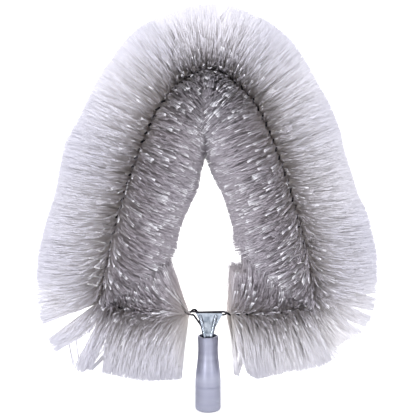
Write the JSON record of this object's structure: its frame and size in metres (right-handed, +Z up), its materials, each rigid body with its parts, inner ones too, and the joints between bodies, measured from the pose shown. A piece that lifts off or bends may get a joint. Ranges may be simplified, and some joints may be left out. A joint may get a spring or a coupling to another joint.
{
  "type": "cobweb brush",
  "caption": "Loop-shaped cobweb brush: grey filaments twisted into a wire loop, with a pressed steel clamp and a plastic socket for a pole.",
  "frame": {"origin": "centre of the pole socket's open mouth, at the brush's lower end", "axes": "+Z up along the socket's axis to the top of the loop, X across the loop, -Y its front face"},
  "size_m": [0.3858, 0.15, 0.4658],
  "materials": {
    "socket_plastic": "satin grey polypropylene",
    "clamp_steel": "bright zinc-plated sheet",
    "core_wire": "drawn galvanised wire, dulled",
    "filaments": "grey polypropylene filament with a silky sheen"
  },
  "bodies": {
    "root": {"pole_socket": "socket_plastic", "clamp_front": "clamp_steel", "clamp_back": "clamp_steel", "core_wire_a": "core_wire", "core_wire_b": "core_wire", "bristles_crown_left": "filaments", "bristles_crown_right": "filaments", "bristles_arch_left": "filaments", "bristles_arch_right": "filaments", "bristles_shoulder_left": "filaments", "bristles_shoulder_right": "filaments", "bristles_side_high_left": "filaments", "bristles_side_high_right": "filaments", "bristles_side_mid_left": "filaments", "bristles_side_mid_right": "filaments", "bristles_side_low_left": "filaments", "bristles_side_low_right": "filaments", "bristles_corner_left": "filaments", "bristles_corner_right": "filaments", "bristles_run_left": "filaments", "bristles_run_right": "filaments"}
  },
  "joints": []
}
